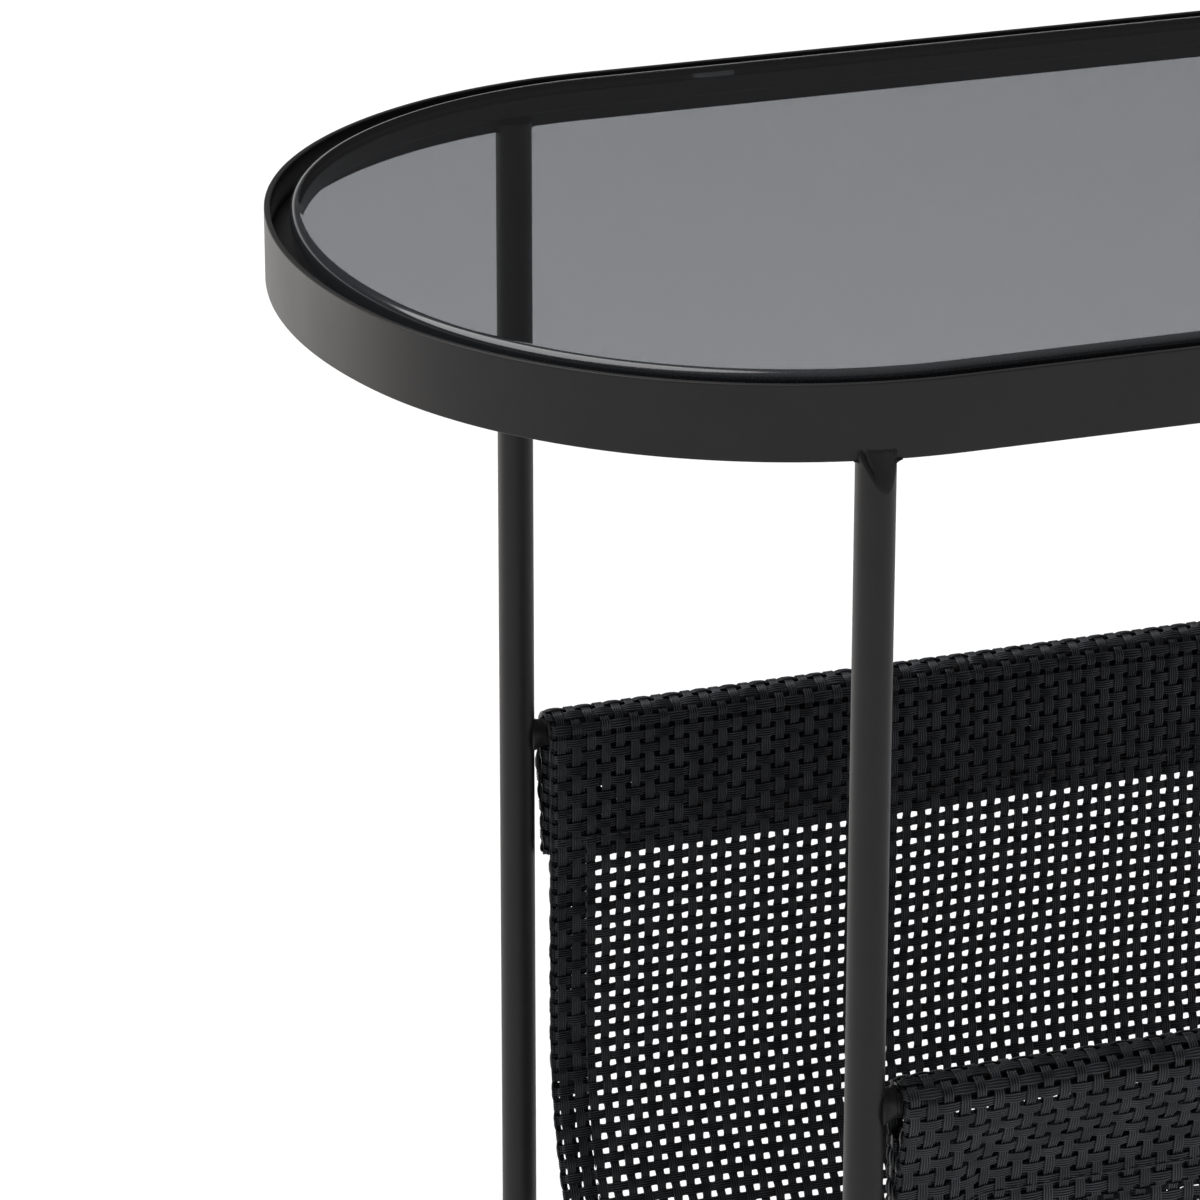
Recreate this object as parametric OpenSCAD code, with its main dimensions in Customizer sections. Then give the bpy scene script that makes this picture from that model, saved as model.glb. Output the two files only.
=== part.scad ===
// Oval side table: a flat-bar rim around a glass top, four tube legs,
// and a woven sling hung between two rods for magazines.
// X runs along the table, Y across it, and Z up from the floor.

/* [Table] */
// Length over the rim
table_length = 500; // [460:10:600]
// Width over the rim
table_width = 280; // [270:5:300]
// Height of the rim's top edge above the floor
table_height = 480; // [470:5:560]

/* [Rim] */
// Height of the rim's flat bar
band_height = 20; // [18:1:25]
// Thickness of the rim's flat bar
band_thickness = 1.6; // [1.5:0.1:3]
// How far each rounded end reaches past the straight sides
end_depth = 129; // [125:1:133]
// Radius of the broad arc across each end
end_radius = 173; // [170:1:180]

/* [Glass] */
// Thickness of the glass pane
glass_thickness = 8; // [6:1:10]
// Gap between the band and the glass all round
glass_gap = 5.2; // [4:0.1:6]
// How far the glass stands above the band
glass_proud = 0.9; // [0:0.1:1.5]
// Rounding of the glass edge
glass_edge = 2.4; // [1:0.1:2.8]
// Width of the ledge ring under the glass
ledge_width = 7.9; // [7:0.1:10]
// Height of the ledge ring
ledge_height = 5; // [3:0.5:7]
// Height of the clear pads between ledge and glass
pad_height = 1.4; // [1:0.1:2]

/* [Legs] */
// Diameter of each leg tube
leg_diameter = 10.3; // [9.5:0.1:12.7]
// Wall of each leg tube
leg_wall = 1.2; // [1:0.1:1.5]
// How far the leg axes lie inside the rim's width, each side
leg_inset = 3.5; // [3:0.1:4]
// How far the leg axes lie past the straight sides, towards each end
leg_setback = 22.2; // [18:0.2:26]
// How far the notched leg ends overlap the band
leg_overlap = 3; // [2:0.5:4]
// Length of the slanted cut on the outside of each leg's top
leg_cut = 11.5; // [10:0.5:18]
// Height of the plastic glide under each leg
glide_height = 3; // [2:0.5:5]

/* [Sling] */
// Diameter of the rods that carry the sling
rod_diameter = 8; // [7:0.5:9]
// Depth of the front rod's axis below the rim's top edge
front_rod_drop = 195.5; // [180:0.5:204]
// Depth of the rear rod's axis below the rim's top edge
rear_rod_drop = 200; // [180:0.5:204]
// Gap between each leg and the sling's side edge
side_gap = 3; // [2.5:0.25:8]
// Thickness of the woven mesh
mesh_thickness = 1.2; // [0.8:0.1:1.4]
// Slack of the sleeves round the rods
sleeve_slack = 1.3; // [0.8:0.1:2]
// Depth of the sleeves below the rod axes
sleeve_depth = 39; // [30:1:50]
// Height of the sewn band at the foot of each sleeve
seam_height = 8; // [6:1:12]
// Depth below the rim's top edge where the sling's sides start to curve in
sling_bend_drop = 292; // [270:2:300]
// Width of the folded hems along the sling's sides
hem_width = 13; // [10:1:16]
// Thickness of the sewing thread
thread = 0.5; // [0.3:0.1:0.8]

/* [Hidden] */
$fn = 96;
eps = 1;

// The oval: straight sides, a tight arc at each corner and a broad arc across each end
half_width = table_width / 2;
straight_x = table_length / 2 - end_depth;
end_x = straight_x - (end_radius - end_depth);
corner_radius = (pow(end_radius, 2) - pow(end_radius - end_depth, 2) - pow(half_width, 2))
    / (2 * (end_radius - half_width));
corner_y = half_width - corner_radius;
corner_angle = atan2(corner_y, straight_x - end_x);

// Heights
band_low = table_height - band_height;
glass_low = table_height + glass_proud - glass_thickness;
pad_clearance = 0.1;
ledge_high = glass_low - pad_clearance - pad_height;
ledge_low = ledge_high - ledge_height;
bend_z = table_height - sling_bend_drop;
function rod_z(face) = table_height - (face < 0 ? front_rod_drop : rear_rod_drop);
function sleeve_low(face) = rod_z(face) - sleeve_depth;

// Plan positions
leg_radius = leg_diameter / 2;
leg_x = straight_x + leg_setback;
leg_y = half_width - leg_inset;
band_y = corner_y + sqrt(pow(corner_radius, 2) - pow(leg_setback, 2));
rod_radius = rod_diameter / 2;
rod_weld_length = 2.2;
rod_half = leg_x - leg_radius - rod_weld_length;
sling_half = leg_x - leg_radius - side_gap;

// The sling's section: upright sides and a half-round bottom, drawn from its inner face
sleeve_inner = rod_radius + sleeve_slack;
sleeve_outer = sleeve_inner + mesh_thickness;
sling_radius = leg_y - sleeve_outer;

// Places a corner's parts, drawn for the rear right corner, at any corner
module at_corner(side, face) {
    mirror([side < 0 ? 1 : 0, 0, 0]) mirror([0, face < 0 ? 1 : 0, 0]) children();
}

// A sector of a round slab about a point in plan
module sector(x, y, radius, from, sweep, low, high) {
    translate([x, y, low]) rotate([0, 0, from])
        rotate_extrude(angle = sweep) square([radius, high - low]);
}

// A slab with the rim's oval outline, drawn in by inset
module oval_slab(inset, low, high) {
    side_y = half_width - inset;
    core = [
        [straight_x, side_y], [straight_x, corner_y], [end_x, 0],
        [straight_x, -corner_y], [straight_x, -side_y]
    ];
    mirrored = [for (i = [len(core) - 1:-1:0]) [-core[i][0], core[i][1]]];
    translate([0, 0, low]) linear_extrude(high - low) polygon(concat(core, mirrored));
    for (side = [-1, 1]) mirror([side < 0 ? 1 : 0, 0, 0]) {
        sector(end_x, 0, end_radius - inset, -corner_angle, 2 * corner_angle, low, high);
        sector(straight_x, corner_y, corner_radius - inset,
            corner_angle, 90 - corner_angle, low, high);
        sector(straight_x, -corner_y, corner_radius - inset,
            -90, 90 - corner_angle, low, high);
    }
}

module oval_ring(outer_inset, inner_inset, low, high) {
    difference() {
        oval_slab(outer_inset, low, high);
        oval_slab(inner_inset, low - eps, high + eps);
    }
}

module rim_band() {
    color("#2b2b2d") oval_ring(0, band_thickness, band_low, table_height);
}

module ledge_ring() {
    color("#2b2b2d")
        oval_ring(band_thickness, band_thickness + ledge_width, ledge_low, ledge_high);
}

// The pane's section from its middle line out to its chamfered edge
module pane_section(reach) {
    low = glass_low;
    high = glass_low + glass_thickness;
    polygon([
        [0, low], [reach - glass_edge, low], [reach, low + glass_edge],
        [reach, high - glass_edge], [reach - glass_edge, high], [0, high]
    ]);
}

module pane_sector(x, y, radius, from, sweep) {
    translate([x, y, 0]) rotate([0, 0, from])
        rotate_extrude(angle = sweep) pane_section(radius);
}

// The pane: a straight middle, and at each end two tight corners and a broad nose
module glass_top() {
    edge_inset = band_thickness + glass_gap;
    color("#6e7173", 0.6) for (side = [-1, 1]) mirror([side < 0 ? 1 : 0, 0, 0]) {
        for (face = [-1, 1]) mirror([0, face < 0 ? 1 : 0, 0]) {
            rotate([90, 0, 90]) linear_extrude(straight_x) pane_section(half_width - edge_inset);
            pane_sector(straight_x, corner_y, corner_radius - edge_inset,
                corner_angle, 90 - corner_angle);
        }
        pane_sector(end_x, 0, end_radius - edge_inset, -corner_angle, 2 * corner_angle);
    }
}

// Clear pads stuck on the ledge: two on each long side and one at each end
module glass_pads() {
    pad_length = 12;
    pad_width = 2.4;
    middle = band_thickness + ledge_width - pad_width / 2 - 0.2;
    color("#d8d8d8") {
        for (side = [-1, 1], face = [-1, 1])
            translate([side * straight_x * 0.7, face * (half_width - middle), ledge_high + pad_height / 2])
                cube([pad_length, pad_width, pad_height], center = true);
        for (side = [-1, 1])
            translate([side * (table_length / 2 - middle), 0, ledge_high + pad_height / 2])
                cube([pad_width, pad_length, pad_height], center = true);
    }
}

// What the legs and their welds are cut by: the band, and the slanted cut outside it
module leg_top_cuts() {
    slant = atan2(leg_y + leg_radius - band_y, leg_cut);
    oval_ring(0, band_thickness, band_low, table_height);
    translate([leg_x, band_y, band_low + leg_overlap]) rotate([slant, 0, 0])
        translate([-2 * leg_radius, 0, -2 * leg_cut])
            cube([4 * leg_radius, 2 * leg_radius, 3 * leg_cut]);
}

module leg() {
    top = band_low + leg_overlap;
    color("#2b2b2d") difference() {
        translate([leg_x, leg_y, glide_height]) cylinder(r = leg_radius, h = top - glide_height);
        translate([leg_x, leg_y, 0]) cylinder(r = leg_radius - leg_wall, h = top + eps);
        leg_top_cuts();
    }
}

// Weld metal: it fills the top of the tube and runs out along the band's lower edge
module leg_weld() {
    top = band_low + leg_overlap;
    fill_depth = 14;
    fillet = 2.4;
    bead_width = 3.2;
    along = asin(leg_setback / corner_radius);
    difference() {
        union() {
            translate([leg_x, leg_y, top - fill_depth])
                cylinder(r = leg_radius - leg_wall, h = fill_depth);
            translate([leg_x, band_y - band_thickness / 2, band_low]) rotate([90, 0, -along])
                linear_extrude(bead_width, center = true)
                    polygon([
                        [-leg_radius - fillet, 0], [leg_radius + fillet, 0],
                        [leg_radius - 1, -fillet - 1], [-leg_radius + 1, -fillet - 1]
                    ]);
        }
        difference() {
            translate([leg_x, leg_y, 0]) cylinder(r = leg_radius, h = top);
            translate([leg_x, leg_y, -eps])
                cylinder(r = leg_radius - leg_wall, h = top + 2 * eps);
        }
        leg_top_cuts();
    }
}

module leg_welds() {
    color("#303033") for (side = [-1, 1], face = [-1, 1]) at_corner(side, face) leg_weld();
}

// A plug in the tube's foot with a broad, chamfered sole
module glide() {
    stem_radius = leg_radius - leg_wall - 0.05;
    stem_height = 12;
    chamfer = 0.8;
    color("#1c1c1c") translate([leg_x, leg_y, 0]) rotate_extrude() polygon([
        [0, 0], [leg_radius - chamfer, 0], [leg_radius, chamfer], [leg_radius, glide_height],
        [stem_radius, glide_height], [stem_radius, glide_height + stem_height],
        [0, glide_height + stem_height]
    ]);
}

module rod(face) {
    color("#2b2b2d") translate([-rod_half, face * leg_y, rod_z(face)]) rotate([0, 90, 0])
        cylinder(r = rod_radius, h = 2 * rod_half);
}

// Weld metal that joins each rod's end to a leg, flaring towards the leg
module rod_welds() {
    flare_start = 0.3;
    flare_end = 0.9;
    color("#303033") for (side = [-1, 1], face = [-1, 1]) at_corner(side, face) difference() {
        translate([rod_half, leg_y, rod_z(face)]) rotate([0, 90, 0])
            cylinder(r1 = rod_radius + flare_start, r2 = rod_radius + flare_end, h = leg_x - rod_half);
        translate([leg_x, leg_y, rod_z(face) - leg_diameter])
            cylinder(r = leg_radius, h = 2 * leg_diameter);
    }
}

// A strip that follows the sling's section between two distances outside its inner face,
// up to a height over the rod axes
module sling_strip(inner, outer, rise, from_x, to_x) {
    length = to_x - from_x;
    translate([from_x, 0, 0]) rotate([90, 0, 90]) {
        for (face = [-1, 1])
            translate([face > 0 ? sling_radius + inner : -sling_radius - outer, bend_z, 0])
                cube([outer - inner, rod_z(face) + rise - bend_z, length]);
        difference() {
            translate([0, bend_z, 0]) cylinder(r = sling_radius + outer, h = length);
            translate([0, bend_z, -eps]) cylinder(r = sling_radius + inner, h = length + 2 * eps);
            translate([-2 * sling_radius, bend_z, -eps])
                cube([4 * sling_radius, 2 * sling_radius, length + 2 * eps]);
        }
    }
}

module sling_panel() {
    color("#1d1e21") sling_strip(0, mesh_thickness, 0, -sling_half, sling_half);
}

// The sling's end, turned over the rod, down its outer side and sewn to the panel
module sleeve(face) {
    panel_outer = leg_y - sleeve_inner;
    color("#1d1e21") mirror([0, face < 0 ? 1 : 0, 0])
        translate([-sling_half, 0, 0]) rotate([90, 0, 90]) {
            translate([leg_y, rod_z(face), 0]) difference() {
                cylinder(r = sleeve_outer, h = 2 * sling_half);
                translate([0, 0, -eps]) cylinder(r = sleeve_inner, h = 2 * sling_half + 2 * eps);
                translate([-2 * sleeve_outer, -4 * sleeve_outer, -eps])
                    cube([4 * sleeve_outer, 4 * sleeve_outer, 2 * sling_half + 2 * eps]);
            }
            translate([leg_y + sleeve_inner, sleeve_low(face), 0])
                cube([mesh_thickness, sleeve_depth, 2 * sling_half]);
            translate([panel_outer, sleeve_low(face), 0])
                cube([2 * sleeve_inner, seam_height, 2 * sling_half]);
        }
}

module hem(side) {
    inner_x = sling_half - hem_width;
    color("#17181a") mirror([side < 0 ? 1 : 0, 0, 0])
        sling_strip(mesh_thickness, 2 * mesh_thickness, -sleeve_depth, inner_x, sling_half);
}

// Lines of thread on the inner face: across each sleeve's foot and down each hem
module stitching() {
    seam_rise = seam_height - sleeve_depth - 2;
    hem_x = sling_half - hem_width + 2;
    color("#101011") {
        for (face = [-1, 1])
            translate([0, face * (sling_radius - thread / 2), rod_z(face) + seam_rise])
                cube([2 * sling_half - 2, thread, thread], center = true);
        for (side = [-1, 1]) mirror([side < 0 ? 1 : 0, 0, 0])
            sling_strip(-thread, 0, seam_rise - 2 * thread, hem_x, hem_x + thread);
    }
}

rim_band();
ledge_ring();
glass_top();
glass_pads();
at_corner(-1, -1) leg();  // leg_front_left
at_corner(1, -1) leg();  // leg_front_right
at_corner(-1, 1) leg();  // leg_rear_left
at_corner(1, 1) leg();  // leg_rear_right
leg_welds();
at_corner(-1, -1) glide();  // glide_front_left
at_corner(1, -1) glide();  // glide_front_right
at_corner(-1, 1) glide();  // glide_rear_left
at_corner(1, 1) glide();  // glide_rear_right
rod(-1);  // rod_front
rod(1);  // rod_rear
rod_welds();
sling_panel();
sleeve(-1);  // sleeve_front
sleeve(1);  // sleeve_rear
hem(-1);  // hem_left
hem(1);  // hem_right
stitching();
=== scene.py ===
import math

import bpy
import numpy as np
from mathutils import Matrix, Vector


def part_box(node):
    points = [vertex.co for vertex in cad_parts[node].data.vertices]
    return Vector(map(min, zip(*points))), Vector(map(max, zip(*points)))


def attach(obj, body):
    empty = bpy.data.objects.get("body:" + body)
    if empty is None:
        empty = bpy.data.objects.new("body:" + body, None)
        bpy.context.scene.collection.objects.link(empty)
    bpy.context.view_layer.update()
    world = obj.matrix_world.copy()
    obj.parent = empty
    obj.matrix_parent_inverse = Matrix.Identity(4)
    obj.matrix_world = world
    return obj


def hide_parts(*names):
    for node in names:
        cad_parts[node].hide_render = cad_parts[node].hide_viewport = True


# An oval side table with a smoked glass top and a sling of woven mesh. The script builds the visible
# pieces round the CAD frame, in metres: +X along the table, +Y to the rear, +Z up.
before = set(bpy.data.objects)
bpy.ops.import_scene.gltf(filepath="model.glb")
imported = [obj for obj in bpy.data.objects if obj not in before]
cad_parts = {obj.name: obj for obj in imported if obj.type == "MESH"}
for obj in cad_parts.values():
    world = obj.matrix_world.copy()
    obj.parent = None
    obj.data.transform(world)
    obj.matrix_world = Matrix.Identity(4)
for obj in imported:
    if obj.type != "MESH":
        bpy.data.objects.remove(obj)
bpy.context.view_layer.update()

MM = 0.001
TURN = 2 * math.pi

# ---------------------------------------------------------------- frame
RIM_LOW, RIM_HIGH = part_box("rim_band")
GLASS_LOW, GLASS_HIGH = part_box("glass_top")
LEDGE_LOW, LEDGE_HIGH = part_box("ledge_ring")
LEG_LOW, LEG_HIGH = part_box("leg_rear_right")
ROD_LOW, ROD_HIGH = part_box("rod_rear")
PANEL_LOW, PANEL_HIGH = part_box("sling_panel")

BAND_THICKNESS = 1.6 * MM
LEDGE_WIDTH = 7.9 * MM
GLASS_ROUNDING = 2.4 * MM   # radius of the pane's edges
END_RADIUS = 173 * MM       # the broad arc across each end
END_DEPTH = 129 * MM        # how far each end reaches past the straight sides
LEG_X = (LEG_LOW.x + LEG_HIGH.x) / 2
LEG_RADIUS = (LEG_HIGH.x - LEG_LOW.x) / 2
ROD_Y = (ROD_LOW.y + ROD_HIGH.y) / 2
ROD_RADIUS = (ROD_HIGH.z - ROD_LOW.z) / 2
LEG_Y = ROD_Y
FRONT, REAR = -1, 1         # the two long sides, by the sign of Y


def middle_height(name):
    """The height of the middle of a node's box."""
    low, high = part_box(name)
    return (low.z + high.z) / 2


ROD_Z = {FRONT: middle_height("rod_front"), REAR: middle_height("rod_rear")}
SLEEVE_FOOT = {FRONT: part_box("sleeve_front")[0].z, REAR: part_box("sleeve_rear")[0].z}


# ---------------------------------------------------------------- node helpers
def new_material(name):
    """An empty material and its node tree, with an output."""
    material = bpy.data.materials.new(name)
    material.use_nodes = True
    tree = material.node_tree
    tree.nodes.clear()
    output = tree.nodes.new("ShaderNodeOutputMaterial")
    return material, tree, output


def add_node(tree, kind, **values):
    """A node with its properties and its inputs' values set by name."""
    node = tree.nodes.new("ShaderNode" + kind)
    for key, value in values.items():
        label = key.replace("_", " ")
        if label in node.inputs:
            node.inputs[label].default_value = value
        else:
            setattr(node, key, value)
    return node


def noise(tree, scale, detail=3.0, roughness=0.5):
    """Noise over the object's own coordinates, in cycles per metre."""
    place = add_node(tree, "TexCoord")
    node = tree.nodes.new("ShaderNodeTexNoise")
    node.inputs["Scale"].default_value = scale
    node.inputs["Detail"].default_value = detail
    node.inputs["Roughness"].default_value = roughness
    tree.links.new(place.outputs["Object"], node.inputs["Vector"])
    return node.outputs["Fac"]


def remap(tree, source, low, high, from_low=0.0, from_high=1.0):
    """A value brought from one range to another."""
    node = tree.nodes.new("ShaderNodeMapRange")
    node.inputs["From Min"].default_value = from_low
    node.inputs["From Max"].default_value = from_high
    node.inputs["To Min"].default_value = low
    node.inputs["To Max"].default_value = high
    tree.links.new(source, node.inputs["Value"])
    return node.outputs["Result"]


def ramp(tree, source, stops):
    """A colour ramp with (position, rgb) stops."""
    node = tree.nodes.new("ShaderNodeValToRGB")
    elements = node.color_ramp.elements
    while len(elements) > 1:
        elements.remove(elements[-1])
    for number, (position, rgb) in enumerate(stops):
        element = elements[0] if number == 0 else elements.new(position)
        element.position = position
        element.color = (*rgb, 1)
    tree.links.new(source, node.inputs["Fac"])
    return node.outputs["Color"]


def bump(tree, height, distance, strength=1.0, under=None):
    """A normal bumped by a height, over another bumped normal where one is given."""
    node = tree.nodes.new("ShaderNodeBump")
    node.inputs["Distance"].default_value = distance
    node.inputs["Strength"].default_value = strength
    tree.links.new(height, node.inputs["Height"])
    if under is not None:
        tree.links.new(under, node.inputs["Normal"])
    return node.outputs["Normal"]


# ---------------------------------------------------------------- materials
def powder_coat():
    """Satin black powder coat: a fine orange peel, and slight wandering of its gloss."""
    material, tree, output = new_material("powder_coat")
    shader = add_node(tree, "BsdfPrincipled")
    shader.inputs["IOR"].default_value = 1.5
    shader.inputs["Specular IOR Level"].default_value = 0.28
    mottle = noise(tree, 90, 4)
    colour = ramp(tree, mottle, [(0.3, (0.0096, 0.0088, 0.0086)), (0.7, (0.0132, 0.0120, 0.0118))])
    peel = noise(tree, 2600, 2, 0.6)
    ripple = noise(tree, 420, 2)
    tree.links.new(colour, shader.inputs["Base Color"])
    tree.links.new(remap(tree, mottle, 0.44, 0.54), shader.inputs["Roughness"])
    coarse = bump(tree, ripple, 0.00004, 0.5)
    tree.links.new(bump(tree, peel, 0.00003, 0.6, coarse), shader.inputs["Normal"])
    tree.links.new(shader.outputs["BSDF"], output.inputs["Surface"])
    return material


def smoked_glass():
    """Grey glass, darkened by its depth."""
    material, tree, output = new_material("smoked_glass")
    shader = add_node(tree, "BsdfPrincipled")
    shader.inputs["Base Color"].default_value = (0.97, 0.985, 0.98, 1)
    shader.inputs["Roughness"].default_value = 0.0
    shader.inputs["IOR"].default_value = 1.52
    shader.inputs["Transmission Weight"].default_value = 1.0
    tree.links.new(shader.outputs["BSDF"], output.inputs["Surface"])
    depth = add_node(tree, "VolumeAbsorption")
    depth.inputs["Color"].default_value = (0.433, 0.4445, 0.4655, 1)
    depth.inputs["Density"].default_value = 196.0
    tree.links.new(depth.outputs["Volume"], output.inputs["Volume"])
    return material


def ground_edge():
    """The pane's edge, ground to a fine satin."""
    material, tree, output = new_material("ground_edge")
    shader = add_node(tree, "BsdfPrincipled")
    shader.inputs["IOR"].default_value = 1.52
    shader.inputs["Transmission Weight"].default_value = 0.15
    grain = noise(tree, 1900, 2)
    colour = ramp(tree, grain, [(0.3, (0.018, 0.019, 0.021)), (0.7, (0.028, 0.030, 0.033))])
    tree.links.new(colour, shader.inputs["Base Color"])
    tree.links.new(remap(tree, grain, 0.09, 0.16), shader.inputs["Roughness"])
    tree.links.new(shader.outputs["BSDF"], output.inputs["Surface"])
    return material


RIDGE = "ridge"       # a ribbon's point attribute: 1 on its filaments' crests, and 0 between them; mesh_yarn paints a highlight on the crests and shade between them from it


def mesh_yarn():
    """PVC-coated polyester filament: near-black with a blue cast and a waxy gloss, with a painted highlight
    on each filament's crest and painted shade in the grooves between filaments.
    """
    material, tree, output = new_material("mesh_yarn")
    shader = add_node(tree, "BsdfPrincipled")
    shader.inputs["IOR"].default_value = 1.5
    shader.inputs["Specular IOR Level"].default_value = 0.22
    shader.inputs["Specular Tint"].default_value = (0.92, 0.96, 1.0, 1)
    patches = noise(tree, 140, 3)
    grain = noise(tree, 1500, 2)
    crest = add_node(tree, "Attribute", attribute_name=RIDGE)
    # Painted light: the crests are coloured lighter as a painted highlight and the grooves between
    # filaments darker as painted shade, the highlight's strength varying in random patches.
    painted_crest_light = tree.nodes.new("ShaderNodeMath")
    painted_crest_light.operation = "MULTIPLY"
    tree.links.new(crest.outputs["Fac"], painted_crest_light.inputs[0])
    tree.links.new(remap(tree, patches, 0.75, 1.15, 0.3, 0.7), painted_crest_light.inputs[1])
    colour = ramp(tree, painted_crest_light.outputs["Value"], [
        (0.30, (0.0026, 0.0027, 0.0032)), (0.62, (0.0150, 0.0156, 0.0176)), (1.0, (0.0680, 0.0710, 0.0780))
    ])
    tree.links.new(colour, shader.inputs["Base Color"])
    tree.links.new(remap(tree, grain, 0.26, 0.42), shader.inputs["Roughness"])
    tree.links.new(bump(tree, grain, 0.00004, 0.5), shader.inputs["Normal"])
    tree.links.new(shader.outputs["BSDF"], output.inputs["Surface"])
    return material


def sewing_thread():
    """Black polyester thread, with its twist as a fine bump."""
    material, tree, output = new_material("sewing_thread")
    shader = add_node(tree, "BsdfPrincipled")
    twist = noise(tree, 2200, 2)
    colour = ramp(tree, twist, [(0.3, (0.008, 0.008, 0.009)), (0.7, (0.028, 0.028, 0.030))])
    tree.links.new(colour, shader.inputs["Base Color"])
    tree.links.new(remap(tree, twist, 0.45, 0.7), shader.inputs["Roughness"])
    tree.links.new(bump(tree, twist, 0.00006, 0.7), shader.inputs["Normal"])
    tree.links.new(shader.outputs["BSDF"], output.inputs["Surface"])
    return material


def moulded_plastic():
    """Black plastic with a fine grain, for the glides."""
    material, tree, output = new_material("moulded_plastic")
    shader = add_node(tree, "BsdfPrincipled")
    grain = noise(tree, 1800, 3)
    colour = ramp(tree, grain, [(0.3, (0.011, 0.011, 0.011)), (0.7, (0.017, 0.017, 0.017))])
    tree.links.new(colour, shader.inputs["Base Color"])
    tree.links.new(remap(tree, grain, 0.45, 0.62), shader.inputs["Roughness"])
    tree.links.new(bump(tree, grain, 0.00003, 0.5), shader.inputs["Normal"])
    tree.links.new(shader.outputs["BSDF"], output.inputs["Surface"])
    return material


def clear_silicone():
    """Slightly cloudy silicone, for the pads under the pane."""
    material, tree, output = new_material("clear_silicone")
    shader = add_node(tree, "BsdfPrincipled")
    shader.inputs["Roughness"].default_value = 0.25
    shader.inputs["IOR"].default_value = 1.41
    shader.inputs["Transmission Weight"].default_value = 0.75
    cloud = noise(tree, 700, 2)
    colour = ramp(tree, cloud, [(0.3, (0.62, 0.64, 0.65)), (0.7, (0.74, 0.76, 0.77))])
    tree.links.new(colour, shader.inputs["Base Color"])
    tree.links.new(shader.outputs["BSDF"], output.inputs["Surface"])
    return material


COAT = powder_coat()
GLASS = smoked_glass()
GROUND = ground_edge()
YARN = mesh_yarn()
THREAD = sewing_thread()
PLASTIC = moulded_plastic()
SILICONE = clear_silicone()


# ---------------------------------------------------------------- mesh helpers
def make_piece(name, points, faces, material, creases=None):
    """A smooth-shaded mesh object. faces is a list of index arrays, one for each face size.

    creases says, for pairs of point numbers, which edges stay sharp.
    """
    mesh = bpy.data.meshes.new(name)
    points = np.asarray(points, np.float32).reshape(-1, 3)
    loops = np.concatenate([np.asarray(f, np.int32).ravel() for f in faces])
    totals = np.concatenate([np.full(len(f), np.shape(f)[1], np.int32) for f in faces])
    mesh.vertices.add(len(points))
    mesh.vertices.foreach_set("co", points.ravel())
    mesh.loops.add(len(loops))
    mesh.loops.foreach_set("vertex_index", loops)
    mesh.polygons.add(len(totals))
    mesh.polygons.foreach_set("loop_start", np.concatenate([[0], np.cumsum(totals)[:-1]]).astype(np.int32))
    mesh.polygons.foreach_set("loop_total", totals)
    mesh.update(calc_edges=True)
    mesh.polygons.foreach_set("use_smooth", np.ones(len(totals), bool))
    if creases is not None:
        ends = np.zeros(len(mesh.edges) * 2, np.int32)
        mesh.edges.foreach_get("vertices", ends)
        ends = ends.reshape(-1, 2)
        mesh.edges.foreach_set("use_edge_sharp", creases(ends[:, 0], ends[:, 1]))
    mesh.materials.append(material)
    mesh.update()
    mesh.validate()
    piece = bpy.data.objects.new(name, mesh)
    bpy.context.scene.collection.objects.link(piece)
    return piece


def tube_faces(count, rings, sides, closed=False):
    """Quads for count tubes of rings x sides points, stored one tube after another."""
    tube = np.arange(count)[:, None, None] * rings * sides
    steps = rings if closed else rings - 1
    ring = np.arange(steps)[None, :, None]
    side = np.arange(sides)[None, None, :]
    after, beside = (ring + 1) % rings, (side + 1) % sides
    a = tube + ring * sides + side
    b = tube + ring * sides + beside
    c = tube + after * sides + beside
    d = tube + after * sides + side
    return np.stack([a, b, c, d], -1).reshape(-1, 4)


def cap_faces(count, rings, sides):
    """The two end faces of each of count tubes."""
    tube = np.arange(count)[:, None] * rings * sides
    side = np.arange(sides)[None, :]
    first = tube + side[:, ::-1]
    last = tube + (rings - 1) * sides + side
    return np.concatenate([first, last])


# ---------------------------------------------------------------- the oval
def oval(step=2.2 * MM):
    """Points round the rim's outer face, in plan, and the outward direction at each."""
    half_width = RIM_HIGH.y
    straight_x = RIM_HIGH.x - END_DEPTH
    end_x = RIM_HIGH.x - END_RADIUS
    reach = END_RADIUS - END_DEPTH
    corner = (END_RADIUS**2 - reach**2 - half_width**2) / (2 * (END_RADIUS - half_width))
    corner_y = half_width - corner
    turn = math.atan2(corner_y, straight_x - end_x)
    points, outward = [], []

    def arc(x, y, radius, start, stop):
        count = max(2, int(abs(stop - start) * radius / step))
        for angle in np.linspace(start, stop, count, endpoint=False):
            direction = (math.cos(angle), math.sin(angle))
            points.append((x + radius * direction[0], y + radius * direction[1]))
            outward.append(direction)

    arc(end_x, 0, END_RADIUS, -turn, turn)
    arc(straight_x, corner_y, corner, turn, TURN / 4)
    for x in np.linspace(straight_x, -straight_x, 12, endpoint=False):
        points.append((x, half_width))
        outward.append((0.0, 1.0))
    arc(-straight_x, corner_y, corner, TURN / 4, TURN / 2 - turn)
    arc(-end_x, 0, END_RADIUS, TURN / 2 - turn, TURN / 2 + turn)
    arc(-straight_x, -corner_y, corner, TURN / 2 + turn, TURN * 3 / 4)
    for x in np.linspace(-straight_x, straight_x, 12, endpoint=False):
        points.append((x, -half_width))
        outward.append((0.0, -1.0))
    arc(straight_x, -corner_y, corner, TURN * 3 / 4, TURN - turn)
    return np.array(points), np.array(outward)


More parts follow.
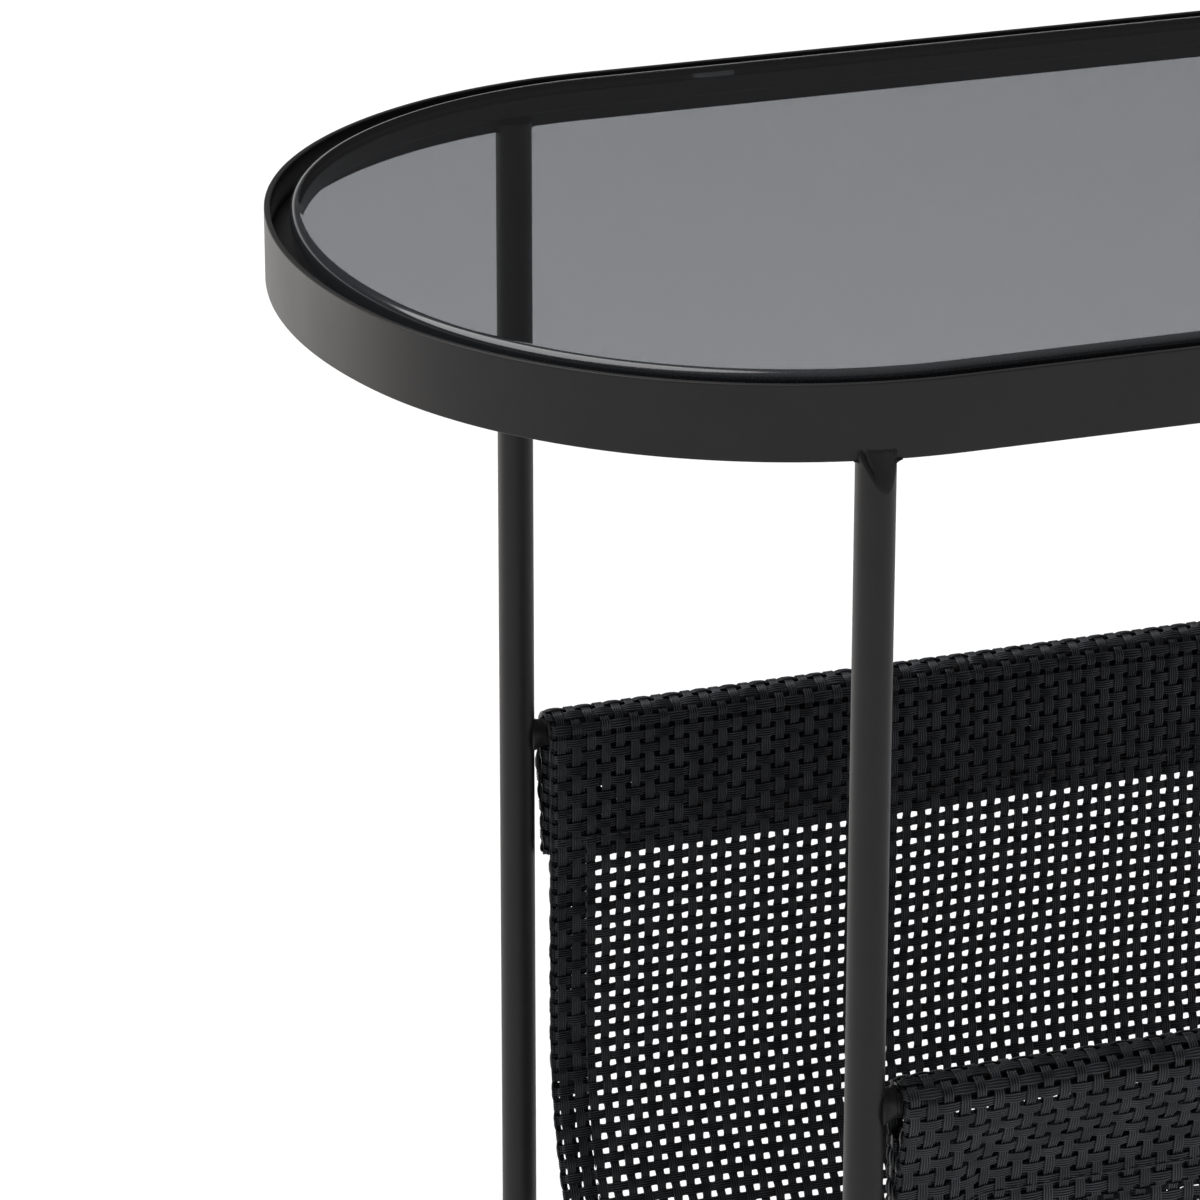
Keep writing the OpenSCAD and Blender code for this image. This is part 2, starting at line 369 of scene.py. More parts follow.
def rounded_bar(inner, outer, low, high, radius, steps=4):
    """A rectangle's outline as (inset, height) points.

    Its corners are rounded, with a point close before and behind each to keep the flats flat.
    """
    outline = []
    support = radius * 0.8
    corners = [(inner, low, 0.5), (outer, low, 0.75), (outer, high, 0.0), (inner, high, 0.25)]
    for x, z, start in corners:
        sx = 1 if x == outer else -1
        sz = 1 if z == high else -1
        cx, cz = x - sx * radius, z - sz * radius
        arc_points = []
        for number in range(steps + 1):
            angle = (start + 0.25 * number / steps) * TURN
            arc_points.append((cx + radius * math.cos(angle), cz + radius * math.sin(angle)))
        ends = []
        for end_x, end_z in (arc_points[0], arc_points[-1]):
            if abs(end_x - x) < 1e-9:
                ends.append((end_x, end_z - sz * support))
            else:
                ends.append((end_x - sx * support, end_z))
        outline += [ends[0], *arc_points, ends[1]]
    return np.array(outline)


def sweep_oval(name, outline, material):
    """A bar's outline, in (distance outside the rim, height), swept round the oval."""
    points, outward = oval()
    rings = len(points)
    x = points[:, None, 0] + outward[:, None, 0] * outline[None, :, 0]
    y = points[:, None, 1] + outward[:, None, 1] * outline[None, :, 0]
    z = np.broadcast_to(outline[None, :, 1], x.shape)
    return make_piece(
        name, np.stack([x, y, z], -1), [tube_faces(1, rings, len(outline), closed=True)], material
    )


def make_rim():
    """The flat bar round the top, and the ledge ring inside it."""
    outline = rounded_bar(-BAND_THICKNESS, 0.0, RIM_LOW.z, RIM_HIGH.z, 0.38 * MM)
    band = sweep_oval("rim_band_coated", outline, COAT)
    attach(band, "frame")
    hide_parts("rim_band")
    inner = LEDGE_HIGH.x - RIM_HIGH.x
    outline = rounded_bar(inner - LEDGE_WIDTH, inner + 0.1 * MM, LEDGE_LOW.z, LEDGE_HIGH.z, 0.3 * MM)
    ledge = sweep_oval("ledge_ring_coated", outline, COAT)
    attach(ledge, "frame")
    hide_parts("ledge_ring")


def make_glass():
    """The pane with its edge ground round."""
    points, outward = oval()
    inset = GLASS_HIGH.x - RIM_HIGH.x
    radius = GLASS_ROUNDING
    flat = inset - radius - 0.6 * MM
    middle = (inset, (GLASS_LOW.z + GLASS_HIGH.z) / 2)

    def quarter(centre_z, start):
        """A quarter round, from start to a quarter turn on, as shares of a turn."""
        angles = [(start + 0.25 * number / 8) * TURN for number in range(9)]
        return [(inset - radius + radius * math.cos(a), centre_z + radius * math.sin(a)) for a in angles]

    profile = [(flat, GLASS_LOW.z), *quarter(GLASS_LOW.z + radius, 0.75), middle]
    profile += [*quarter(GLASS_HIGH.z - radius, 0.0), (flat, GLASS_HIGH.z)]
    profile = np.array(profile)
    rings, sides = len(points), len(profile)
    x = points[:, None, 0] + outward[:, None, 0] * profile[None, :, 0]
    y = points[:, None, 1] + outward[:, None, 1] * profile[None, :, 0]
    z = np.broadcast_to(profile[None, :, 1], x.shape)
    ring = np.arange(rings)[:, None]
    side = np.arange(sides - 1)[None, :]
    after = (ring + 1) % rings
    quads = np.stack(
        [ring * sides + side, after * sides + side, after * sides + side + 1, ring * sides + side + 1], -1
    ).reshape(-1, 4)
    bottom = (np.arange(rings)[::-1] * sides)[None, :]
    top = (np.arange(rings) * sides + sides - 1)[None, :]
    pane = make_piece("glass_pane", np.stack([x, y, z], -1), [quads, bottom, top], GLASS)
    pane.data.materials.append(GROUND)
    strip = np.arange(len(quads)) % (sides - 1)
    rounded = (strip > 0) & (strip < sides - 2)
    slots = np.concatenate([rounded.astype(np.int32), [0, 0]])
    pane.data.polygons.foreach_set("material_index", slots)
    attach(pane, "glass")
    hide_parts("glass_top")


# ---------------------------------------------------------------- the sling's cloth
LAYER = 1.15 * MM                                 # thickness of one layer of mesh
HALF_PANEL = 0.6 * MM                             # half the CAD panel's thickness
PANEL_Y = PANEL_HIGH.y - HALF_PANEL               # middle of the panel's upright sides
BEND_Z = PANEL_LOW.z + HALF_PANEL + PANEL_Y       # where the round bottom starts
HEM_WIDTH = 13 * MM
FOLD = 0.62 * MM                                  # radius of the folded side edge
SIDE_X = PANEL_HIGH.x - FOLD - 0.55 * MM          # where the side fold starts
CROWN = 5.9 * MM                                  # radius of the cloth's middle over the rod
SLEEVE_DEPTH = ROD_Z[REAR] - SLEEVE_FOOT[REAR]
SEAM_ABOVE = 6 * MM                               # the seam's height over the sleeve's foot
TURNED = 34 * MM                                  # depth of the turned-under edge
SLEEVE_SHIFT = 1.6 * MM                           # how far the rear sleeve's outer layer lies to the left
HEM_SLIP = 2.2 * MM                               # how far a hem's inner layer slips along its outer one
SLIP_FROM, SLIP_OVER = 165 * MM, 35 * MM          # where along the cloth the slip sets in, and over how far
EASE_FROM, EASE_OVER = 14 * MM, 12 * MM           # how far inside a hem the seam thickens, and over how far
MESH_PITCH = 4.5 * MM                             # from one ribbon to the next, before it is fitted
SIDE_RIBBONS = 29                                 # whole ribbons from the middle to each side fold
BANDS = 11                                        # patches along the panel
BACK_OVER_ROD = 24 * MM                           # from a rod's outer side back over it to the panel's end
SAMPLE = 0.1 * MM                                 # spacing of the points along the cloth's section


def cloth_section(face, edge):
    """The cloth's middle line from under the sling's middle up to one side's turned-under edge.

    It is drawn with Y positive for either side. edge is 1 where the side hems thicken the seam, and 0
    between them.
    """
    line = []
    # Half of the round bottom, then the upright side, then over the rod
    for angle in np.linspace(0, TURN / 4, 2000, endpoint=False):
        line.append((PANEL_Y * math.sin(angle), BEND_Z - PANEL_Y * math.cos(angle)))
    crown_y, crown_z = PANEL_Y + CROWN, ROD_Z[face] + 0.2 * MM
    for z in np.linspace(BEND_Z, crown_z, 900, endpoint=False):
        line.append((PANEL_Y, z))
    for angle in np.linspace(TURN / 2, 0, 200, endpoint=False):
        line.append((crown_y + CROWN * math.cos(angle), crown_z + CROWN * math.sin(angle)))
    # The outer layer, down to the fold at the sleeve's foot
    fold = LAYER * (0.55 + edge)
    seam_gap = LAYER * (2.2 + 2.8 * edge)
    foot_z = SLEEVE_FOOT[face] + fold + 0.5 * LAYER
    drop = crown_z - foot_z
    straight = SEAM_ABOVE - fold
    for down in np.linspace(0, drop, 400, endpoint=False):
        share = min(1.0, down / (drop - straight))
        ease = 0.5 + 0.5 * math.cos(math.pi * share**0.85)
        line.append((PANEL_Y + seam_gap + (2 * CROWN - seam_gap) * ease, crown_z - down))
    # The fold, then the turned-under edge up inside the sleeve
    fold_y = PANEL_Y + seam_gap - fold
    for angle in np.linspace(0, TURN / 2, 60, endpoint=False):
        line.append((fold_y + fold * math.cos(angle), foot_z - fold * math.sin(angle)))
    top = foot_z + TURNED
    for up in np.linspace(0, TURNED, 300):
        share = max(0.0, (up - straight) / (TURNED - straight))
        lean = (2 * CROWN - seam_gap) * (0.5 - 0.5 * math.cos(math.pi * (share * 0.62) ** 1.1))
        line.append((fold_y - fold + 0.55 * lean, foot_z + up))
    # The same line in even steps
    line = np.array(line)
    steps = np.linalg.norm(np.diff(line, axis=0), axis=1)
    along = np.concatenate([[0], np.cumsum(steps)])
    even = np.arange(0, along[-1], SAMPLE)
    y = np.interp(even, along, line[:, 0])
    z = np.interp(even, along, line[:, 1])
    return np.stack([y, z], -1)


SECTIONS = [[cloth_section(face, edge) for edge in (0.0, 1.0)] for face in (FRONT, REAR)]
SECTION_LENGTH = min(len(line) for pair in SECTIONS for line in pair)
SECTIONS = np.array([[line[:SECTION_LENGTH] for line in pair] for pair in SECTIONS])
CLOTH_REACH = (SECTION_LENGTH - 1) * SAMPLE


def foot_along(line):
    """How far along the cloth the sleeve's foot is: its lowest point past the rod."""
    past_rod = np.arange(SECTION_LENGTH) * SAMPLE > PANEL_Y * TURN / 4 + ROD_Z[REAR] - BEND_Z
    return SAMPLE * int(np.argmin(np.where(past_rod, line[:, 1], math.inf)))


FOOT_V = {FRONT: foot_along(SECTIONS[0, 0]), REAR: foot_along(SECTIONS[1, 0])}

# The pitch is set so that a folded-over layer's ribbons close the holes of the layer under it
PITCH_U = (SIDE_X + math.pi * FOLD / 2) / (SIDE_RIBBONS + 0.25)
PITCH_V = FOOT_V[REAR] / (round(FOOT_V[REAR] / MESH_PITCH * 2) / 2 + 0.25)
SIDE_END = SIDE_X + math.pi * FOLD + HEM_WIDTH - FOLD


def smooth_step(x):
    """From 0 to 1 as x does, level at both ends."""
    x = np.clip(x, 0, 1)
    return x * x * (3 - 2 * x)


def place_cloth(u, v, height):
    """Where the cloth's point (u across, v along) lies, at a height off its middle."""
    side = np.where(u < 0, -1.0, 1.0)
    face = np.where(v < 0, -1.0, 1.0)
    # Round the folded side edge, which runs a little unevenly. past is how far beyond its start a point is
    uneven = 0.4 * MM * np.sin(v * 13 + side * 1.3) * np.sin(v * 5 + 1)
    past = np.abs(u) - SIDE_X - uneven
    angle = np.clip(past / FOLD, 0, math.pi)
    beyond = np.maximum(past - math.pi * FOLD, 0)
    x = np.where(past > 0, np.abs(u) - past + FOLD * np.sin(angle) - beyond, np.abs(u)) * side
    back = np.where(past > 0, FOLD * (np.cos(angle) - 1), 0.0)
    folded = np.clip(past / (math.pi * FOLD), 0, 1)
    v = v + HEM_SLIP * folded * smooth_step((np.abs(v) - SLIP_FROM) / SLIP_OVER)
    # Along the section, between its line in the middle of the cloth and its line at a hem
    edge = smooth_step((np.abs(x) - (SIDE_X - HEM_WIDTH - EASE_FROM)) / EASE_OVER)
    spot = np.clip(np.abs(v) / SAMPLE, 0, SECTION_LENGTH - 1.001)
    index = spot.astype(int)
    part = (spot - index)[..., None]
    half = np.where(v < 0, 0, 1)
    mix = edge[..., None]

    def at(shift=0):
        i = np.clip(index + shift, 0, SECTION_LENGTH - 2)
        middle = SECTIONS[half, 0, i] * (1 - part) + SECTIONS[half, 0, i + 1] * part
        hemmed = SECTIONS[half, 1, i] * (1 - part) + SECTIONS[half, 1, i + 1] * part
        return middle * (1 - mix) + hemmed * mix

    here, ahead, before = at(), at(2), at(-2)
    along = ahead - before
    along /= np.maximum(np.linalg.norm(along, axis=-1, keepdims=True), 1e-12)
    normal_y, normal_z = -along[..., 1], along[..., 0]
    off = back + height * np.cos(angle) + sag(x, v)
    y = here[..., 0] + normal_y * off
    z = here[..., 1] + normal_z * off
    # The rear sleeve's outer layer, from the rod's top down, lies to one side of the panel
    turned_over = smooth_step((v - (FOOT_V[REAR] - SLEEVE_DEPTH - CROWN)) / (20 * MM))
    x = x + side * height * np.sin(angle) - SLEEVE_SHIFT * turned_over
    return np.stack([x, y * face, z], -1)


def sag(x, v):
    """Slow waves in the hanging cloth, which die out towards the sewn sleeves."""
    reach, ease = 300 * MM, 90 * MM
    free = smooth_step((reach - np.abs(v)) / ease)
    slow = np.sin(x * 31 + 0.8) * np.cos(v * 17 + 0.4) + 0.6 * np.sin(x * 55 - v * 23 + 2.0)
    return free * 0.55 * MM * slow


RIBBON_WIDTH = 2.9 * MM
FILAMENTS = 4                         # filaments side by side in each ribbon
CREST, VALLEY = 0.28 * MM, 0.06 * MM  # half a ribbon's thickness on and between its filaments
RISE = 0.29 * MM                      # how far a ribbon rises to pass over another
STEPS = 4                             # rings of points from one crossing to the next


def ribbon_section():
    """A ribbon's outline: its filaments lie side by side, rounded on both faces."""
    across = np.linspace(-0.5, 0.5, 2 * FILAMENTS + 1) * RIBBON_WIDTH
    face = np.where(np.arange(len(across)) % 2 == 1, CREST, VALLEY)
    face[0] = face[-1] = 0.0
    outline = list(zip(across, face)) + list(zip(across[-2:0:-1], -face[-2:0:-1]))
    return np.array(outline)


OUTLINE = ribbon_section()
SIDES = len(OUTLINE)


def between_filaments(first, second):
    """True for a ribbon's lengthwise edges between its filaments and along its sides."""
    return (first % SIDES == second % SIDES) & (first % 2 == 0)


def weave_wave(t):
    """From one face to the other and back, flat where ribbons cross."""
    return np.clip(1.38 * np.cos(math.pi * t), -1, 1)


def wander(numbers, along, seed):
    """How far each ribbon drifts sideways along its length."""
    phases = np.random.default_rng(seed)
    total = np.zeros((len(numbers), len(along)))
    shared = 0.35 * MM * np.sin(along[None, :] * 38 + numbers[:, None] * 0.05 + seed)
    for length, size in ((23 * MM, 0.045 * MM), (61 * MM, 0.07 * MM)):
        table = phases.uniform(0, TURN, 400)
        total += size * np.sin(along[None, :] * TURN / length + table[numbers % 400][:, None])
    return total + shared * 0.5


def ribbons(numbers, start, stop, pitch, other_pitch, lengthwise, seed):
    """Rings of points for the ribbons with these numbers, from start to stop along them."""
    count = int(round((stop - start) / other_pitch * STEPS)) + 1
    along = np.linspace(start, stop, count)
    centre = (numbers + 0.5)[:, None] * pitch + wander(numbers, along, seed)
    parity = np.where(numbers % 2 == 0, 1.0, -1.0)[:, None]
    sign = 1.0 if lengthwise else -1.0
    rise = sign * parity * RISE * weave_wave(along / other_pitch - 0.5)[None, :]
    squeeze = 1 + 0.06 * np.cos(TURN * (along / other_pitch - 0.5))[None, :, None]
    across = centre[..., None] + OUTLINE[None, None, :, 0] * squeeze
    height = rise[..., None] + OUTLINE[None, None, :, 1]
    run = np.broadcast_to(along[None, :, None], across.shape)
    if lengthwise:
        return place_cloth(across, run, height)
    return place_cloth(run, across, height)


def weave(name, first_u, last_u, first_v, last_v, nodes):
    """A patch of mesh between whole numbers of ribbons, across and along the cloth."""
    u_low, u_high = max(first_u * PITCH_U, -SIDE_END), min(last_u * PITCH_U, SIDE_END)
    v_low, v_high = max(first_v * PITCH_V, -CLOTH_REACH), min(last_v * PITCH_V, CLOTH_REACH)
    points, quads, caps, base = [], [], [], 0
    across = np.arange(first_u, last_u)
    across = across[np.abs((across + 0.5) * PITCH_U) + 0.4 * RIBBON_WIDTH < SIDE_END]
    along = np.arange(first_v, last_v)
    along = along[np.abs((along + 0.5) * PITCH_V) + 0.4 * RIBBON_WIDTH < CLOTH_REACH]
    sets = (
        (across, v_low, v_high, PITCH_U, PITCH_V, True, 11),
        (along, u_low, u_high, PITCH_V, PITCH_U, False, 23),
    )
    for numbers, start, stop, pitch, other, lengthwise, seed in sets:
        rings = ribbons(numbers, start, stop, pitch, other, lengthwise, seed)
        count, length, sides = rings.shape[:3]
        faces = tube_faces(count, length, sides)
        ends = cap_faces(count, length, sides)
        if not lengthwise:
            faces, ends = faces[:, ::-1], ends[:, ::-1]
        points.append(rings.reshape(-1, 3))
        quads.append(faces + base)
        caps.append(ends + base)
        base += count * length * sides
    quads, caps = np.concatenate(quads), np.concatenate(caps)
    piece = make_piece(name, np.concatenate(points), [quads, caps], YARN, between_filaments)
    # The crest mask from which mesh_yarn paints a highlight on each filament and shade between filaments.
    ridge = piece.data.attributes.new(RIDGE, "FLOAT", "POINT")
    ridge.data.foreach_set("value", (np.arange(base) % 2).astype(np.float32))
    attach(piece, "frame")
    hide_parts(*nodes)
    return piece


def make_sling():
    """The whole cloth in patches: the panel in bands, its side hems, and the two sleeves."""
    side, outer = SIDE_RIBBONS, int(SIDE_END / PITCH_U) + 1
    end = int(CLOTH_REACH / PITCH_V) + 1
    panel_ends = [FOOT_V[face] - SLEEVE_DEPTH - BACK_OVER_ROD for face in (FRONT, REAR)]
    front, rear = [int(reach / PITCH_V) + 1 for reach in panel_ends]
    edges = [round(-front + (front + rear) * number / BANDS) for number in range(BANDS + 1)]
    for number in range(BANDS):
        weave(
            f"sling_panel_mesh_{number + 1:02d}", -side, side, edges[number], edges[number + 1],
            ["sling_panel"],
        )
    weave("hem_left_mesh", -outer, -side, -front, rear, ["hem_left"])
    weave("hem_right_mesh", side, outer, -front, rear, ["hem_right"])
    for name, low, high in (("front", -end, -front), ("rear", rear, end)):
        for part, from_u, to_u in (("left", -outer, 0), ("right", 0, outer)):
            weave(
                f"sleeve_{name}_mesh_{part}", from_u, to_u, low, high,
                [f"sleeve_{name}"],
            )


# ---------------------------------------------------------------- legs and welds
LEG_WALL = 1.2 * MM
LEG_ANGLES = np.linspace(0, TURN, 72, endpoint=False)
LEG_CIRCLE = np.stack([np.cos(LEG_ANGLES), np.sin(LEG_ANGLES)], -1)
CUT = 10.3 * MM                       # length of the slanted cut at the middle of the leg
CUT_LEAN = 0.6                        # how much the cut deepens towards the middle of the table
NOTCH_DEPTH = 2.2 * MM                # depth of the gap that each weld leaves at its edge
ROD_WELD_FLARE = 1.6 * MM             # how far the weld round a rod's end spreads at the leg
BEAD_START = 0.9 * MM                 # how far inside a leg's surface its beads start
CORNERS = [
    ("front", "left", -1, FRONT), ("front", "right", 1, FRONT),
    ("rear", "left", -1, REAR), ("rear", "right", 1, REAR),
]


def band_at_leg():
    """How far out the band's face is where a leg crosses it, and its slope there."""
    points, outward = oval(0.4 * MM)
    near = int(np.argmin(np.where(points[:, 1] > 0, np.abs(points[:, 0] - LEG_X), 9)))
    return points[near, 1], math.atan2(outward[near, 0], outward[near, 1])


BAND_FACE, BAND_SLOPE = band_at_leg()


def cut_height(x, y):
    """The top of a leg over a point in plan: level under the band, and slanted outside it."""
    face = BAND_FACE - (x - LEG_X) * math.tan(BAND_SLOPE)
    lean = 1 + CUT_LEAN * (LEG_X - x) / LEG_RADIUS
    outside = np.clip((y - face) * lean / (LEG_Y + LEG_RADIUS - BAND_FACE), 0, None)
    return LEG_HIGH.z - CUT * outside**0.9


def leg_rings():
    """Rings of points up a leg's outside, over its cut edge and down inside it."""
    rings = []
    for radius, rise in ((LEG_RADIUS, None), (LEG_RADIUS - 0.12 * MM, -0.02 * MM),
                         (LEG_RADIUS - 0.5 * LEG_WALL, -0.02 * MM), (LEG_RADIUS - LEG_WALL, -0.1 * MM),
                         (LEG_RADIUS - LEG_WALL, -9 * MM)):
        xy = LEG_CIRCLE * radius + (LEG_X, LEG_Y)
        top = cut_height(xy[:, 0], xy[:, 1])
        if rise is None:
            for share in (0.0, 0.002, 0.25, 0.5, 0.75, 0.9, 0.95):
                rings.append(np.column_stack([xy, LEG_LOW.z + (top - LEG_LOW.z) * share]))
            for under in (3 * MM, 0.9 * MM, 0.35 * MM, 0.1 * MM):
                rings.append(np.column_stack([xy, top - under]))
        else:
            rings.append(np.column_stack([xy, top + rise]))
    return rings


def fill_rings(notch_angle, side):
    """Rings of points out over the weld in a leg's top, dished and with a notch, and down its side."""
    inner = LEG_RADIUS - 0.25 * LEG_WALL
    rings = []
    for share in np.append(np.linspace(0.04, 0.97, 14), 1.0):
        xy = LEG_CIRCLE * inner * share + (LEG_X, LEG_Y)
        top = cut_height(xy[:, 0], xy[:, 1])
        dish = 0.06 * MM * (1 - share**2)
        ripple = 0.03 * MM * np.sin(xy[:, 0] * 2600 + 1) * np.cos(xy[:, 1] * 2300 + side)
        turn_off = np.abs((LEG_ANGLES - notch_angle + TURN / 2) % TURN - TURN / 2)
        notch = NOTCH_DEPTH * smooth_step((share - 0.66) / 0.16) * smooth_step((0.6 - turn_off) / 0.25)
        rings.append(np.column_stack([xy, top + 0.04 * MM - dish + ripple * (1 - share**4) - notch]))
    brim = rings[-1][:, 2]
    for under in (0.06 * MM, 6 * MM):
        rings.append(np.column_stack([LEG_CIRCLE * inner + (LEG_X, LEG_Y), brim - under]))
    return rings


def make_legs():
    """Tubes with a slanted, dressed top, each with a weld that fills it and two beads along the band."""
    for depth_name, side_name, side, face in CORNERS:
        chance = np.random.default_rng(40 + 2 * face + side)
        flip = side * face < 0
        points = np.stack(leg_rings())[None]
        leg = tube_piece(f"leg_{depth_name}_{side_name}_tube", points, (side, face, 1), flip, COAT)
        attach(leg, "frame")
        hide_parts(f"leg_{depth_name}_{side_name}")

        points = np.stack(fill_rings(chance.uniform(0.35, 0.6), side))[None][:, ::-1]
        weld = tube_piece(f"leg_weld_fill_{depth_name}_{side_name}", points, (side, face, 1), flip, COAT)
        finish_weld(weld)
        for sign, end_name in ((-1, "inner"), (1, "outer")):
            size = (0.7 + 0.6 * chance.random()) * MM
            name = f"leg_weld_{depth_name}_{side_name}_{end_name}"
            finish_weld(weld_bead(name, sign, size, side, face, flip))


def tube_piece(name, points, mirror, flip, material):
    """One closed tube from rings of points, mirrored into its corner."""
    count, rings, sides = points.shape[:3]
    faces, ends = tube_faces(count, rings, sides), cap_faces(count, rings, sides)
    if flip:
        faces, ends = faces[:, ::-1], ends[:, ::-1]
    return make_piece(name, points * np.array(mirror), [faces, ends], material)


def finish_weld(piece):
    """Every weld at a leg's top stands for one CAD node."""
    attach(piece, "frame")
    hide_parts("leg_welds")


def weld_bead(name, sign, size, side, face, flip):
    """A concave bead that runs from the tube out along the band's lower edge."""
    around = np.linspace(0, TURN, 16, endpoint=False)
    rings = []
    for share in np.linspace(0, 1, 9):
        along = sign * (LEG_RADIUS - BEAD_START + (size + BEAD_START) * share)
        drop = size * 1.5 * (1 - share) ** 1.8 + 0.12 * MM
        width = (1.1 + 0.9 * (1 - share)) * MM
        middle = BAND_FACE - BAND_THICKNESS / 2
        across = width * np.cos(around)
        down = np.where(np.sin(around) < 0, drop * np.sin(around), 0.25 * MM * np.sin(around))
        x = LEG_X + along * math.cos(BAND_SLOPE) + across * math.sin(BAND_SLOPE)
        y = middle - along * math.sin(BAND_SLOPE) + across * math.cos(BAND_SLOPE)
        rings.append(np.stack([x, y, RIM_LOW.z + down], -1))
    points = np.stack(rings)[None]
    return tube_piece(name, points, (side, face, 1), flip != (sign > 0), COAT)


def make_rod_welds():
    """A lumpy bead round each rod where it meets a leg."""
    around = np.linspace(0, TURN, 48, endpoint=False)
    for depth_name, side_name, side, face in CORNERS:
        chance = np.random.default_rng(90 + 2 * face + side)
        phases = chance.uniform(0, TURN, 4)
        rings = []
        for share in np.linspace(0, 1, 14):
            from_leg = (1 - share) * 4.3 * MM - 1.6 * MM      # it ends inside the leg
            lump = 0.16 * MM * (np.sin(3 * around + phases[0]) + 0.7 * np.sin(5 * around + phases[1]))
            flare = ROD_WELD_FLARE * share**1.9
            radius = ROD_RADIUS + 0.05 * MM + flare + lump * math.sin(math.pi * min(1, share * 0.9))
            uneven = 0.25 * MM * np.sin(2 * around + phases[2]) * (1 - share)
            x = LEG_X - LEG_RADIUS - from_leg + uneven
            y = LEG_Y + radius * np.cos(around)
            z = ROD_Z[face] + radius * np.sin(around)
            rings.append(np.stack([x, y, z], -1))
        points = np.stack(rings)[None]
        name = f"rod_weld_{depth_name}_{side_name}"
        weld = tube_piece(name, points, (side, face, 1), side * face < 0, COAT)
        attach(weld, "frame")
        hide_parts("rod_welds")


# ---------------------------------------------------------------- sewing
STITCH, STITCH_GAP = 2.9 * MM, 0.9 * MM
THREAD_RADIUS = 0.24 * MM


def stitch_row(start, stop, fixed, along_u, faces):
    """Stitches from start to stop one way over the cloth, at a fixed place the other way.

    faces says at what height each row lies, and to which side its stitches arch.
    """
    around = np.linspace(0, TURN, 8, endpoint=False)
    count = int((stop - start) / (STITCH + STITCH_GAP))
    begins = start + np.arange(count) * (stop - start) / count
    shares = np.linspace(0, 1, 7)
    arch = np.sin(math.pi * shares) ** 0.5
    rows = []
    for height, lift in faces:
        run = begins[:, None, None] + (shares * STITCH)[None, :, None] + 0 * around
        centre = height + lift * (0.20 * MM * arch - 0.05 * MM)[None, :, None]
        radius = THREAD_RADIUS * (0.55 + 0.45 * arch)[None, :, None]
        side = fixed + radius * np.cos(around) + 0.1 * MM * np.sin(begins * 900)[:, None, None]
        high = centre + radius * np.sin(around) + 0 * run
        side = side + 0 * run
        rows.append(place_cloth(run, side, high) if along_u else place_cloth(side, run, high))
    return np.concatenate(rows)


def make_stitches():
    """Lockstitch: across each sleeve's foot, through its layers, and down each hem."""
    surface = RISE + CREST
    hem_u = SIDE_X - HEM_WIDTH + 3 * MM
    reach = SIDE_X - 2 * MM
    panel = {face: panel_v(SLEEVE_FOOT[face] + SEAM_ABOVE) for face in (FRONT, REAR)}
    for name, face in (("front", FRONT), ("rear", REAR)):
        rows = []
        for v in (panel[face], FOOT_V[face] - SEAM_ABOVE - LAYER):
            rows.append(stitch_row(-reach, reach, face * v, True, [(surface, 1)]))
        sew(f"seam_{name}_thread", np.concatenate(rows))
    for name, side in (("left", -1), ("right", 1)):
        faces = [(surface, 1), (-surface - LAYER, -1)]
        row = stitch_row(-panel[FRONT], panel[REAR], side * hem_u, False, faces)
        sew(f"hem_{name}_thread", row)


def panel_v(z):
    """How far along the cloth its upright side reaches a height."""
    return PANEL_Y * TURN / 4 + z - BEND_Z


def sew(name, rows):
    """One piece of thread from the rings of all its stitches."""
    count, rings, sides = rows.shape[:3]
    faces = [tube_faces(count, rings, sides), cap_faces(count, rings, sides)]
    piece = make_piece(name, rows, faces, THREAD)
    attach(piece, "frame")
    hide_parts("stitching")


